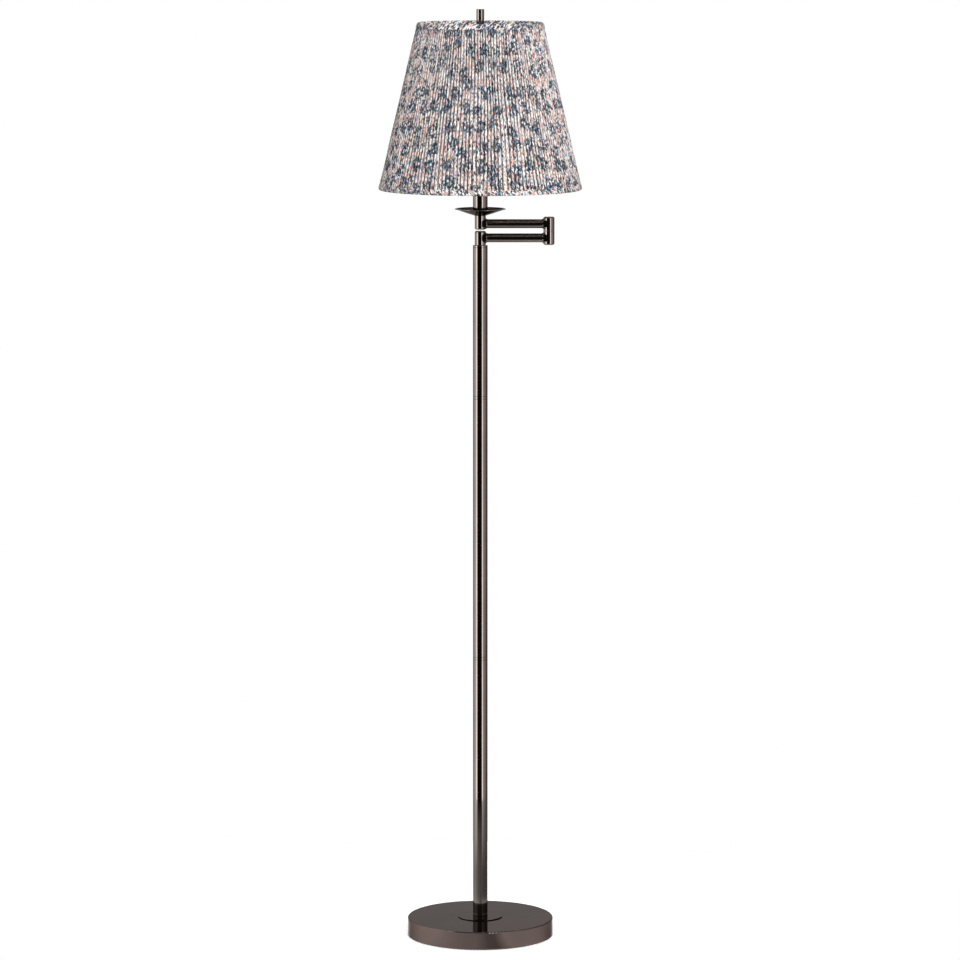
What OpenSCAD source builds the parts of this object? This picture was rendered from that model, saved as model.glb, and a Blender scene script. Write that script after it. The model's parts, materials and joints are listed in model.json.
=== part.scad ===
// Swing-arm bridge floor lamp with a pleated empire shade on a harp.
// Millimetres, +Z up, origin on the floor at the centre of the round base.
// The two arms are drawn folded: the upper arm lies straight above the lower one.

/* [Base] */
// Diameter of the round base
base_d = 240; // [190:1:300]
// Height of the base above the floor
base_h = 30; // [25:0.5:40]
// Wall of the spun metal cover
cover_wall = 1.2; // [0.8:0.1:2]
// Outer radius of the cover's top edge
cover_edge_r = 1.8; // [1.5:0.1:4]
// Thickness of the soft pad under the base
pad_t = 2; // [1.5:0.1:4]
// How far the cover's skirt stops above the floor
skirt_lift = 1; // [0.5:0.1:1.5]
// Width and depth of the cord channel under the weight
cord_channel = 9; // [8:0.5:12]
// Bore of the cord bushing in the back of the base
cord_bore_d = 7; // [6:0.1:8]
// Diameter of the thin plate at the pole's foot
foot_plate_d = 73; // [50:1:90]
// Thickness of that plate
foot_plate_t = 1.6; // [1:0.1:3]

/* [Pole] */
// Outside diameter of the pole
pole_d = 24; // [20:0.1:34]
// Wall of the pole tubes
pole_wall = 1; // [0.8:0.1:2]
// Length of the lowest pole tube
lower_pole_l = 425; // [200:1:600]
// Length of the middle pole tube
middle_pole_l = 426; // [200:1:600]
// Length of the highest pole tube
upper_pole_l = 242.5; // [120:0.5:600]
// Height of the plain ring at each pole joint
joint_ring_h = 4.6; // [3:0.1:8]
// Length of the threaded plug in each pole end
insert_l = 10; // [7:0.5:20]
// Flange height of the cap on the pole
pole_cap_h = 3.6; // [2.5:0.1:6]
// Depth of that cap's plug inside the pole
pole_cap_plug_l = 12; // [10:0.5:20]

/* [Threaded pipe] */
// Outside diameter of the hollow threaded pipe
pipe_d = 9.6; // [8:0.1:11]
// Bore of that pipe, where the lead passes
pipe_bore_d = 6.6; // [5:0.1:7]
// Diameter of the round slotted lock nuts
nut_d = 13; // [12:0.1:13.4]
// Height of those nuts
nut_h = 3.4; // [2.5:0.1:4]

/* [Arms] */
// Distance between the swing axes at the two ends of an arm
arm_l = 111.5; // [70:0.5:300]
// Outside diameter of the arm tubes
arm_d = 14.5; // [11:0.1:15]
// Wall of the arm tubes
arm_wall = 1.2; // [0.8:0.1:2]
// Outside diameter of the four knuckles
knuckle_d = 18; // [17:0.1:22]
// Height of a knuckle
knuckle_h = 22.5; // [22:0.1:34]
// Diameter of the chamber inside a knuckle
chamber_d = 14; // [13.8:0.1:14.4]
// Thickness of the wall that the pivot passes through
web_t = 3.5; // [2.5:0.1:4]
// Thickness of the plug that closes a knuckle
end_plug_t = 3; // [2:0.1:3.4]
// Rounding of a knuckle's closed end
knuckle_round_r = 2.6; // [1:0.1:3]
// Fillet where an arm leaves its knuckle
boss_fillet_r = 2.2; // [1:0.1:4]
// Thickness of the slippery washers between turning parts
slip_washer_t = 0.5; // [0.3:0.1:1.5]
// How far the head knuckle is raised, to pass over the pole's knuckle
head_rise = 1.85; // [1:0.05:3]

/* [Head] */
// Diameter of the saucer under the shade
saucer_d = 83; // [60:1:110]
// Height of the saucer
saucer_h = 11.4; // [8:0.1:18]
// Thickness of the saucer's metal
saucer_t = 1; // [0.6:0.1:1.6]
// Radius of the saucer's curve, seen in section
saucer_curve_r = 320; // [120:5:900]
// Outside diameter of the neck tube
neck_d = 24; // [20:0.1:30]
// Length of the neck tube
neck_l = 45.6; // [30:0.5:80]
// Wall of the neck tube
neck_wall = 1; // [0.8:0.1:2]
// Height of the washer on the neck
neck_washer_h = 2; // [1.5:0.1:4]

/* [Harp] */
// Height of the harp, from its saddle to the shade's seat
harp_h = 248.6; // [190:0.1:320]
// Greatest half width of the harp's bow, to the wire's middle
harp_half_w = 53.5; // [46:0.5:60]
// Half distance between the saddle's two ears
saddle_half_w = 26; // [24:0.5:30]
// Thickness of the saddle
saddle_t = 1.5; // [1:0.1:2]
// Width of the saddle's strip
saddle_w = 8; // [7:0.5:12]
// Diameter of the harp's wire
harp_wire_d = 3.4; // [2.5:0.1:4]
// Bend radius at the harp's widest part
harp_bend_r = 45; // [30:1:60]
// Bend radius of the harp's two upper corners
harp_corner_r = 18; // [8:1:24]

/* [Socket] */
// Outside diameter of the socket's cap
socket_d = 33.6; // [33.4:0.1:40]
// Height of the socket above the saddle
socket_h = 60; // [56:0.5:75]
// Bore of the screw shell that takes the bulb
screw_shell_d = 27; // [26.6:0.1:28]
// Diameter of the switch's turning shaft
switch_shaft_d = 3.6; // [3:0.1:4.5]
// Length of the shaft outside the socket
switch_reach = 12; // [8:0.5:20]
// Diameter of the switch knob
knob_d = 11; // [8:0.1:16]
// Length of the switch knob
knob_l = 13; // [9:0.1:20]
// Number of flutes round the knob
knob_flutes = 12; // [6:1:20]

/* [Bulb] */
// Diameter of the bulb's glass
bulb_d = 60; // [45:1:70]
// Height of the glass above the bulb's cap
bulb_glass_h = 84; // [70:1:110]
// Wall of the glass
bulb_wall = 1; // [0.8:0.1:2]

/* [Shade] */
// Bottom diameter of the shade
shade_bottom_d = 330.2; // [260:0.1:420]
// Top diameter of the shade
shade_top_d = 203.2; // [150:0.1:260]
// Upright height of the shade
shade_h = 270; // [200:1:320]
// How far the spider's hub lies below the shade's top edge
spider_drop = 13; // [8:0.5:30]
// Depth of the pleated fabric, from ridge to back
fabric_t = 2; // [1:0.1:2.2]
// Thickness of the lining
lining_t = 0.5; // [0.3:0.1:0.6]
// Height of the trim bands at both edges
trim_h = 9; // [6:0.5:14]
// Thickness of the trim bands
trim_t = 1; // [0.6:0.1:1.5]
// Diameter of the two ring wires
ring_wire_d = 3; // [3:0.1:4]

/* [Finial] */
// Diameter of the plain finial
finial_d = 12.7; // [9:0.1:20]
// Height of the finial
finial_h = 32.4; // [20:0.1:50]

/* [Hidden] */
$fn = 96;

// Clearances
fit = 0.05;       // radial play of a shaft in its bore
shaft_play = 0.1; // radial play of the switch shaft in the socket's core
slip = 0.05;      // gap between faces that turn on each other
soft_gap = 0.1;   // gap round the soft pieces of the shade
eps = 0.01;       // overrun of a cut past a face
drawn_down = 0.02;     // how much thinner a wire's straight runs are than its bends, in radius
bend_overlap = 0.4;    // how far a straight run of wire reaches into a bend

knuckle_r = knuckle_d / 2;
pole_r = pole_d / 2;

// Saucer: its section is an arc between the flat floor and the beaded rim
saucer_floor_r = knuckle_r + 0.4;
saucer_bead_r = 0.6;
saucer_rim_r = saucer_d / 2 - saucer_bead_r;
saucer_chord = [saucer_rim_r - saucer_floor_r, saucer_h - saucer_bead_r];
saucer_slant = sqrt(saucer_curve_r ^ 2 - norm(saucer_chord) ^ 2 / 4) / norm(saucer_chord);
saucer_centre = [
    saucer_floor_r + saucer_chord[0] / 2 - saucer_chord[1] * saucer_slant,
    saucer_chord[1] / 2 + saucer_chord[0] * saucer_slant
];

// Heights, from the floor up
foot_ring_z = base_h + foot_plate_t;
lower_pole_z = foot_ring_z + joint_ring_h;
lower_ring_z = lower_pole_z + lower_pole_l;
middle_pole_z = lower_ring_z + joint_ring_h;
upper_ring_z = middle_pole_z + middle_pole_l;
upper_pole_z = upper_ring_z + joint_ring_h;
pole_cap_z = upper_pole_z + upper_pole_l;
pole_washer_z = pole_cap_z + pole_cap_h;
lower_knuckle_z = pole_washer_z + slip_washer_t + slip;
elbow_washer_z = lower_knuckle_z + knuckle_h;
upper_knuckle_z = elbow_washer_z + slip_washer_t + slip;
lower_arm_z = lower_knuckle_z + knuckle_h / 2;
upper_arm_z = upper_knuckle_z + knuckle_h / 2;
head_knuckle_z = upper_knuckle_z + head_rise;
saucer_z = head_knuckle_z + knuckle_h;
neck_z = saucer_z + saucer_inside_z(neck_d / 2);
neck_washer_z = neck_z + neck_l;
saddle_z = neck_washer_z + neck_washer_h;
socket_z = saddle_z + saddle_t;
shade_seat_z = socket_z + harp_h;
shade_top_z = shade_seat_z + spider_drop;
shade_z = shade_top_z - shade_h;
spider_hub_t = 1.6;
finial_z = shade_seat_z + spider_hub_t;

// Base
cover_r = base_d / 2;
cover_in_r = cover_r - cover_wall;
weight_r = cover_in_r - 0.4;
weight_top_z = base_h - cover_wall;
weight_edge_r = 3;
pad_r = weight_r - 0.5;
recess_r = 16;
recess_h = 12;
washer_r = 12;
washer_t = 1.6;
base_nut_z = pad_t + recess_h - washer_t - nut_h;
base_pipe_z = base_nut_z - 2;
bushing_body_r = cord_bore_d / 2 + 1.4;
bushing_flange_r = bushing_body_r + 2;
bushing_flange_t = 1.6;
bushing_lip_t = 1.2;
bushing_z = pad_t + cord_channel / 2 + 1;
bushing_l = bushing_flange_t + cover_wall + bushing_lip_t + 2;

// Pole and pipes
pipe_r = pipe_d / 2;
pipe_hole_r = pipe_r + fit;
nut_r = nut_d / 2;
pole_in_r = pole_r - pole_wall;
plug_r = pole_in_r - fit;
joint_bevel = 0.4;
pipe_margin = 1.5;        // how far a pipe stops short of the far end of its plug

// Knuckles and arms
chamber_r = chamber_d / 2;
arm_r = arm_d / 2;
arm_end_x = chamber_r + 0.5;    // where an arm tube stops inside its boss
boss_lip = 0.35;                // wall of the boss at its thin end
boss_edge = 1;                  // least height between the boss and a knuckle's ends
boss_l = knuckle_r + boss_fillet_r;
plug_recess = 0.15;             // how far an end plug sits below the rounded end
pivot_nut_z = lower_knuckle_z + web_t + slip;
pivot_top_z = pivot_nut_z + nut_h + 0.4;
pivot_foot_z = pole_cap_z - pole_cap_plug_l + pipe_margin;
elbow_lower_nut_z = elbow_washer_z - web_t - nut_h;
elbow_upper_nut_z = upper_knuckle_z + web_t + slip;
head_nut_z = saucer_z - web_t - nut_h;

// Harp and shade
wire_r = harp_wire_d / 2;
ear_h = 16;
ear_bend_r = 3;
tang_w = 2.4;
ferrule_r = wire_r + 1;
ferrule_l = 12;
stud_collar_r = 5.4;
stud_collar_h = harp_wire_d + 1.6;
stud_socket = 2;           // depth of the bow's ends in the collar
stud_r = 3;
stud_l = 14;
ring_r = ring_wire_d / 2;
trim_fold = 0.8;                                   // thickness of the trim over the edge
shade_lean = atan((shade_bottom_d - shade_top_d) / 2 / shade_h);
ring_inset = trim_t + (soft_gap + ring_r) / cos(shade_lean);    // from the outline to the ring's middle
ring_lift = trim_fold + soft_gap + ring_r;         // from the shade's edge to the ring wire's middle
bottom_ring_r = shade_r(ring_lift) - ring_inset;
top_ring_r = shade_r(shade_h - ring_lift) - ring_inset;
fabric_edge = ring_lift + ring_r + 0.3;            // where the fabric stops, from the shade's edge
fabric_inset = trim_t + soft_gap;
lining_inset = fabric_inset + fabric_t + 0.2;
spider_hub_r = 13;
spider_arm_r = 1.5;
spider_hole_r = 5.5;

// Socket, from the saddle up
cap_wall = 0.8;
cap_neck_r = 7;
cap_neck_h = 7;
cap_h = 24;
socket_r = socket_d / 2;
shell_wall = 0.6;
shell_r = socket_r - cap_wall - fit;
shell_from = 16;
sleeve_r = shell_r - shell_wall - 0.1;
sleeve_wall = 0.7;
core_r = sleeve_r - sleeve_wall - 0.1;
core_from = 15;
core_h = 18;
screw_from = core_from + core_h;
screw_wall = 0.4;
shaft_z = socket_z + core_from + core_h - 5;
shaft_r = switch_shaft_d / 2;
shaft_inner = 6;                                   // how far the shaft starts from the socket's axis
knob_y = shell_r + switch_reach - 3;
knob_r = knob_d / 2;
bulb_cap_r = screw_shell_d / 2 - 0.35;
bulb_cap_from = screw_from + 3;
bulb_cap_h = 24;
bulb_z = socket_z + bulb_cap_from;
contact_r = 4;

// Height of the saucer's inner face at radius r, above its underside
function saucer_inside_z(r) =
    saucer_centre[1] - sqrt((saucer_curve_r - saucer_t) ^ 2 - (r - saucer_centre[0]) ^ 2);

// Radius of the shade's outline at height z above its lower edge
function shade_r(z) = shade_bottom_d / 2 + (shade_top_d - shade_bottom_d) / 2 * z / shade_h;

metal = "#3b3431";
steel = "silver";
brass = "goldenrod";

// ---- Shapes that repeat ----

module ring(outer, inner, h) {
    difference() {
        cylinder(r = outer, h = h);
        translate([0, 0, -eps]) cylinder(r = inner, h = h + 2 * eps);
    }
}

// A tube or washer with both outer edges broken by a small bevel
module bevelled_ring(outer, inner, h, bevel) {
    rotate_extrude()
        polygon([
            [inner, 0], [outer - bevel, 0], [outer, bevel],
            [outer, h - bevel], [outer - bevel, h], [inner, h]
        ]);
}

module pipe(z0, z1) {
    translate([0, 0, z0]) ring(pipe_r, pipe_bore_d / 2, z1 - z0);
}

// Round lock nut with four wrench slots
module lock_nut() {
    slot_w = 1.6;
    slot_depth = 1;
    difference() {
        ring(nut_r, pipe_hole_r, nut_h);
        for (a = [0:90:270])
            rotate([0, 0, a + 45])
                translate([nut_r - slot_depth, -slot_w / 2, -eps])
                    cube([slot_depth + 1, slot_w, nut_h + 2 * eps]);
    }
}

module plain_joint_ring(z) {
    translate([0, 0, z]) bevelled_ring(pole_r, pipe_hole_r, joint_ring_h, joint_bevel);
}

module pole_tube(z, l) {
    translate([0, 0, z]) bevelled_ring(pole_r, pole_in_r, l, joint_bevel / 2);
}

module end_insert(z) {
    translate([0, 0, z]) ring(plug_r, pipe_hole_r, insert_l);
}

// Quarter-round outline: a rectangle w by h with its upper right corner rounded
module one_round_corner(w, h, r) {
    square([w - r, h]);
    square([w, h - r]);
    translate([w - r, h - r]) circle(r = r);
}

// Boss round an arm that leaves along +X at height axis_h: a fillet turned about the arm's axis,
// with sides that close in from the knuckle's width to the arm's
module arm_boss(axis_h) {
    tip_r = arm_r + boss_lip;
    root_r = tip_r + boss_fillet_r;
    intersection() {
        translate([0, 0, axis_h])
            rotate([0, 90, 0])
                rotate_extrude()
                    difference() {
                        square([root_r, boss_l]);
                        translate([root_r, boss_l]) circle(r = boss_fillet_r);
                    }
        translate([0, 0, boss_edge])
            linear_extrude(height = knuckle_h - 2 * boss_edge)
                polygon([
                    [0, fit - knuckle_r], [boss_l + eps, -tip_r],
                    [boss_l + eps, tip_r], [0, knuckle_r - fit]
                ]);
    }
}

// Knuckle with its web at z = 0 and its rounded, plugged end up. The arm's axis is at axis_h.
module knuckle(axis_h) {
    difference() {
        union() {
            rotate_extrude() one_round_corner(knuckle_r, knuckle_h, knuckle_round_r);
            arm_boss(axis_h);
        }
        translate([0, 0, web_t]) cylinder(r = chamber_r, h = knuckle_h);
        translate([0, 0, -eps]) cylinder(r = pipe_hole_r, h = web_t + 2 * eps);
        translate([0, 0, axis_h])
            rotate([0, 90, 0])
                cylinder(r = arm_r + fit, h = boss_l + eps);
    }
}

// Plug that closes a knuckle whose web is at z = 0
module end_plug() {
    translate([0, 0, knuckle_h - plug_recess - end_plug_t])
        cylinder(r = chamber_r - fit, h = end_plug_t);
}

// Arm tube between two bosses, along +X at height z
module arm_tube(z) {
    translate([arm_end_x, 0, z])
        rotate([0, 90, 0]) ring(arm_r, arm_r - arm_wall, arm_l - 2 * arm_end_x);
}

// Wire bent in the XZ plane, starting along +Z. Each row of the table is a straight run, a bend
// radius and a bend angle, where a positive angle turns towards +X. The straight runs are a hair
// thinner than the bends and end just inside them.
module bent_wire(r, table, i = 0) {
    if (i < len(table)) {
        run = table[i][0];
        bend_r = table[i][1];
        bend = table[i][2];
        from = i > 0 ? -bend_overlap : 0;
        to = bend != 0 ? run + bend_overlap : run;
        translate([0, 0, from]) cylinder(r = r - drawn_down, h = to - from);
        if (bend != 0)
            translate([0, 0, run]) {
                rotate([0, 0, bend < 0 ? 180 : 0])
                    translate([bend_r, 0, 0])
                        rotate([90, 0, 0])
                            rotate([0, 0, 180 - abs(bend)])
                                rotate_extrude(angle = abs(bend))
                                    translate([bend_r, 0]) circle(r = r);
                translate([sign(bend) * bend_r * (1 - cos(bend)), 0, bend_r * sin(abs(bend))])
                    rotate([0, bend, 0])
                        bent_wire(r, table, i + 1);
            }
    }
}

// ---- Base ----

module base_pad() {
    color("#26231f") cylinder(r = pad_r, h = pad_t);
}

module base_weight() {
    color("dimgray")
        difference() {
            translate([0, 0, pad_t])
                rotate_extrude()
                    one_round_corner(weight_r, weight_top_z - pad_t, weight_edge_r);
            translate([0, 0, pad_t - eps]) cylinder(r = recess_r, h = recess_h + eps);
            cylinder(r = pipe_hole_r, h = base_h);
            translate([-cord_channel / 2, 0, pad_t - eps])
                cube([cord_channel, base_d, cord_channel + 2]);
            // Pocket for the inner end of the cord bushing
            translate([0, weight_r - bushing_l, bushing_z])
                rotate([-90, 0, 0]) cylinder(r = bushing_body_r + 1.2, h = bushing_l * 2);
        }
}

module base_cover() {
    color(metal)
        difference() {
            rotate_extrude()
                difference() {
                    translate([0, skirt_lift])
                        one_round_corner(cover_r, base_h - skirt_lift, cover_edge_r);
                    square([pipe_hole_r, base_h * 2]);
                    square([cover_in_r, weight_top_z - cover_edge_r]);
                    translate([0, skirt_lift - eps])
                        one_round_corner(
                            cover_in_r, weight_top_z - skirt_lift + eps, cover_edge_r - cover_wall);
                }
            translate([0, cover_in_r - 2, bushing_z])
                rotate([-90, 0, 0]) cylinder(r = bushing_body_r + fit, h = cover_wall + 4);
        }
}

module cord_bushing() {
    color("#1b1a19")
        translate([0, cover_r + bushing_flange_t + 0.1, bushing_z])
            rotate([90, 0, 0])
                difference() {
                    union() {
                        cylinder(r = bushing_flange_r, h = bushing_flange_t);
                        cylinder(r = bushing_body_r, h = bushing_l);
                    }
                    translate([0, 0, -eps]) cylinder(r = cord_bore_d / 2, h = bushing_l + 2 * eps);
                }
}

module base_pipe() {
    color(steel) pipe(base_pipe_z, lower_pole_z + insert_l - pipe_margin);
}

module base_washer() {
    color(steel)
        translate([0, 0, base_nut_z + nut_h]) ring(washer_r, pipe_hole_r, washer_t);
}

module base_nut() {
    color(steel) translate([0, 0, base_nut_z]) lock_nut();
}

module foot_plate() {
    color(metal)
        translate([0, 0, base_h]) bevelled_ring(foot_plate_d / 2, pipe_hole_r, foot_plate_t, joint_bevel);
}

// ---- Pole ----

module foot_ring() {
    color(metal) plain_joint_ring(foot_ring_z);
}

module lower_joint_ring() {
    color(metal) plain_joint_ring(lower_ring_z);
}

module upper_joint_ring() {
    color(metal) plain_joint_ring(upper_ring_z);
}

module lower_pole() {
    color(metal) pole_tube(lower_pole_z, lower_pole_l);
}

module middle_pole() {
    color(metal) pole_tube(middle_pole_z, middle_pole_l);
}

module upper_pole() {
    color(metal) pole_tube(upper_pole_z, upper_pole_l);
}

module pole_inserts() {
    color(steel)
        for (z = [
            lower_pole_z, lower_ring_z - insert_l, middle_pole_z,
            upper_ring_z - insert_l, upper_pole_z
        ])
            end_insert(z);
}

module joint_nipples() {
    reach = insert_l - pipe_margin;
    color(steel)
        for (z = [lower_ring_z, upper_ring_z])
            pipe(z - reach, z + joint_ring_h + reach);
}

module pole_cap() {
    color(metal) {
        translate([0, 0, pole_cap_z])
            bevelled_ring(pole_r, pipe_hole_r, pole_cap_h, joint_bevel);
        translate([0, 0, pole_cap_z - pole_cap_plug_l])
            ring(plug_r, pipe_hole_r, pole_cap_plug_l + joint_bevel);
    }
}

module pole_pivot() {
    color(steel) pipe(pivot_foot_z, pivot_top_z);
}

module pole_pivot_nut() {
    color(steel) translate([0, 0, pivot_nut_z]) lock_nut();
}

module pole_slip_washer() {
    color("ivory")
        translate([0, 0, pole_washer_z]) ring(knuckle_r - 0.6, pipe_hole_r, slip_washer_t);
}

// ---- Lower arm ----

module pole_knuckle() {
    color(metal) translate([0, 0, lower_knuckle_z]) knuckle(knuckle_h / 2);
}

module pole_knuckle_plug() {
    color(metal) translate([0, 0, lower_knuckle_z]) end_plug();
}

module lower_arm_tube() {
    color(metal) arm_tube(lower_arm_z);
}

// The lower half of the elbow hangs upside down, so its web meets the upper half's web
module elbow_lower_knuckle() {
    color(metal)
        translate([arm_l, 0, elbow_washer_z]) rotate([0, 180, 0]) knuckle(knuckle_h / 2);
}

module elbow_lower_plug() {
    color(metal) translate([arm_l, 0, elbow_washer_z]) rotate([180, 0, 0]) end_plug();
}

module elbow_pivot() {
    color(steel)
        translate([arm_l, 0, 0]) pipe(elbow_lower_nut_z - 0.4, elbow_upper_nut_z + nut_h + 0.4);
}

module elbow_nuts() {
    color(steel)
        for (z = [elbow_lower_nut_z, elbow_upper_nut_z])
            translate([arm_l, 0, z]) lock_nut();
}

module elbow_slip_washer() {
    color("ivory")
        translate([arm_l, 0, elbow_washer_z]) ring(knuckle_r - 0.6, pipe_hole_r, slip_washer_t);
}

// ---- Upper arm and head ----

module elbow_upper_knuckle() {
    color(metal)
        translate([arm_l, 0, upper_knuckle_z]) rotate([0, 0, 180]) knuckle(knuckle_h / 2);
}

module elbow_upper_plug() {
    color(metal) translate([arm_l, 0, upper_knuckle_z]) end_plug();
}

module upper_arm_tube() {
    color(metal) arm_tube(upper_arm_z);
}

// The head knuckle hangs upside down too: its web carries the saucer
module head_knuckle() {
    color(metal)
        translate([0, 0, saucer_z]) rotate([180, 0, 0]) knuckle(saucer_z - upper_arm_z);
}

module head_knuckle_plug() {
    color(metal) translate([0, 0, saucer_z]) rotate([180, 0, 0]) end_plug();
}

module head_pipe() {
    color(steel) pipe(head_nut_z - 0.4, socket_z + cap_neck_h - 0.5);
}

module head_nut() {
    color(steel) translate([0, 0, head_nut_z]) lock_nut();
}

// Spun dish: a flat floor on the knuckle, then a shallow flank up to a beaded rim
module saucer() {
    overlap = saucer_t / 4;
    color(metal)
        translate([0, 0, saucer_z])
            rotate_extrude() {
                translate([pipe_hole_r, 0]) square([saucer_floor_r - pipe_hole_r, saucer_t]);
                intersection() {
                    translate(saucer_centre)
                        difference() {
                            circle(r = saucer_curve_r);
                            circle(r = saucer_curve_r - saucer_t);
                        }
                    translate([saucer_floor_r - overlap, -saucer_t])
                        square([saucer_chord[0] + overlap, saucer_h + saucer_t]);
                }
                translate([saucer_rim_r, saucer_h - saucer_bead_r]) circle(r = saucer_bead_r);
            }
}

module neck_tube() {
    color(metal)
        translate([0, 0, neck_z]) ring(neck_d / 2, neck_d / 2 - neck_wall, neck_l);
}

module neck_washer() {
    plug_h = 3;
    color(metal) {
        translate([0, 0, neck_washer_z])
            bevelled_ring(neck_d / 2, pipe_hole_r, neck_washer_h, joint_bevel);
        translate([0, 0, neck_washer_z - plug_h])
            ring(neck_d / 2 - neck_wall - fit, pipe_hole_r, plug_h + joint_bevel);
    }
}

// ---- Harp ----

// Stamped strip, round where the pipe passes, bent up at both ends into ears with narrow tangs
module harp_saddle() {
    flat_half = saddle_half_w - ear_bend_r - saddle_t / 2;
    ear_foot = ear_bend_r + saddle_t;
    ear_top = ear_h - ferrule_l / 2;
    color(steel)
        translate([0, 0, saddle_z])
            difference() {
                union() {
                    cylinder(r = neck_d / 2 - 1, h = saddle_t);
                    translate([-flat_half, -saddle_w / 2, 0]) cube([2 * flat_half, saddle_w, saddle_t]);
                    for (side = [0, 180])
                        rotate([0, 0, side]) {
                            translate([flat_half, saddle_w / 2, ear_foot])
                                rotate([90, 0, 0])
                                    rotate([0, 0, -90])
                                        rotate_extrude(angle = 90)
                                            translate([ear_bend_r, 0]) square([saddle_t, saddle_w]);
                            translate([saddle_half_w - saddle_t / 2, 0, ear_foot]) {
                                translate([0, -saddle_w / 2, 0])
                                    cube([saddle_t, saddle_w, ear_top - ear_foot]);
                                translate([0, -tang_w / 2, 0])
                                    cube([saddle_t, tang_w, ear_h - ear_foot - fit]);
                            }
                        }
                }
                translate([0, 0, -eps]) cylinder(r = pipe_hole_r, h = saddle_t + 2 * eps);
            }
}

// The bow is one wire on each side: up from the ferrule, out to its widest part, then up with a
// slight lean to the upper corner and in to the stud's collar
module harp_bow() {
    flare = 32;
    lean = 6;
    foot_run = 12;
    foot_bend_r = 25;
    foot_z = saddle_z + ear_h;
    rise = shade_seat_z - stud_collar_h / 2 - foot_z;
    flare_run = (harp_half_w - saddle_half_w - (foot_bend_r + harp_bend_r) * (1 - cos(flare)))
        / sin(flare);
    side_run = (rise - foot_run - foot_bend_r * sin(flare) - flare_run * cos(flare)
        - harp_bend_r * (sin(flare) + sin(lean)) - harp_corner_r * (1 - sin(lean))) / cos(lean);
    top_run = harp_half_w - harp_bend_r * (1 - cos(lean)) - side_run * sin(lean)
        - harp_corner_r * cos(lean) - stud_collar_r + stud_socket;
    color(steel)
        for (side = [0, 180])
            rotate([0, 0, side])
                translate([saddle_half_w, 0, foot_z])
                    bent_wire(wire_r, [
                        [foot_run, foot_bend_r, flare],
                        [flare_run, harp_bend_r, -flare - lean],
                        [side_run, harp_corner_r, lean - 90],
                        [top_run, 0, 0]
                    ]);
}

// Sleeves that join the bow to the saddle's tangs
module harp_ferrules() {
    color(steel)
        for (side = [-1, 1])
            translate([side * saddle_half_w, 0, saddle_z + ear_h - ferrule_l / 2])
                ring(ferrule_r, wire_r + fit, ferrule_l);
}

// Collar with a socket for each end of the bow, and the stud that the shade drops over
module harp_stud() {
    color(steel) {
        translate([0, 0, shade_seat_z - stud_collar_h])
            difference() {
                cylinder(r = stud_collar_r, h = stud_collar_h);
                for (side = [0, 180])
                    rotate([0, 0, side])
                        translate([stud_collar_r - stud_socket - fit, 0, stud_collar_h / 2])
                            rotate([0, 90, 0])
                                cylinder(r = wire_r + fit, h = stud_collar_r);
            }
        translate([0, 0, shade_seat_z - stud_collar_h / 2 + wire_r + 2 * fit])
            cylinder(r = stud_r, h = stud_l);
    }
}

// ---- Socket and switch ----

module socket_cap() {
    color(steel)
        translate([0, 0, socket_z])
            rotate_extrude()
                polygon([
                    [pipe_hole_r, 0], [cap_neck_r, 0], [cap_neck_r, cap_neck_h],
                    [socket_r - 2.5, cap_neck_h + 4.5], [socket_r - 0.7, cap_neck_h + 6.5],
                    [socket_r, cap_neck_h + 9], [socket_r, cap_h],
                    [socket_r - cap_wall, cap_h], [socket_r - cap_wall, cap_neck_h + 9],
                    [socket_r - cap_wall - 2.4, cap_neck_h + 6.4],
                    [cap_neck_r, cap_neck_h + 1.2], [pipe_hole_r, cap_neck_h + 1.2]
                ]);
}

module shaft_hole(r) {
    translate([0, 0, shaft_z])
        rotate([90, 0, 0]) cylinder(r = r, h = 2 * socket_r);
}

// Metal shell with a beaded mouth
module socket_shell() {
    shell_top = socket_h;
    color(steel)
        difference() {
            translate([0, 0, socket_z])
                rotate_extrude()
                    polygon([
                        [shell_r, shell_from], [shell_r, shell_top - 6], [socket_r + 0.8, shell_top - 3],
                        [socket_r + 0.8, shell_top], [socket_r + 0.8 - shell_wall, shell_top],
                        [socket_r + 0.8 - shell_wall, shell_top - 2.7],
                        [shell_r - shell_wall, shell_top - 5.7], [shell_r - shell_wall, shell_from]
                    ]);
            shaft_hole(shaft_r + 1.2);
        }
}

module socket_sleeve() {
    color("tan")
        difference() {
            translate([0, 0, socket_z + shell_from + 1])
                ring(sleeve_r, sleeve_r - sleeve_wall, socket_h - shell_from - 7);
            shaft_hole(shaft_r + 1.2);
        }
}

// Moulded core that holds the switch works, the screw shell and the contact
module socket_core() {
    color("#2b2622")
        difference() {
            translate([0, 0, socket_z + core_from]) cylinder(r = core_r, h = core_h);
            translate([0, 0, shaft_z])
                rotate([90, 0, 0])
                    translate([0, 0, shaft_inner - 1])
                        cylinder(r = shaft_r + shaft_play, h = 2 * socket_r);
            for (side = [-1, 1])
                translate([side * (core_r - 3), 0, socket_z + core_from - eps])
                    cylinder(r = 1.6, h = core_h / 2);
        }
}

module socket_screw_shell() {
    r = screw_shell_d / 2;
    color(brass)
        translate([0, 0, socket_z + screw_from])
            rotate_extrude()
                polygon([
                    [contact_r + 2, 0], [r + screw_wall, 0], [r + screw_wall, socket_h - screw_from - 2],
                    [r, socket_h - screw_from - 2], [r, screw_wall], [contact_r + 2, screw_wall]
                ]);
}

module socket_contact() {
    color(brass)
        translate([0, 0, socket_z + screw_from]) {
            cylinder(r = contact_r, h = 1);
            cylinder(r = contact_r / 2, h = bulb_cap_from - screw_from - fit);
        }
}

module switch_shaft() {
    color(brass)
        translate([0, -shaft_inner, shaft_z])
            rotate([90, 0, 0]) cylinder(r = shaft_r, h = knob_y - shaft_inner + knob_l - 3);
}

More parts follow.
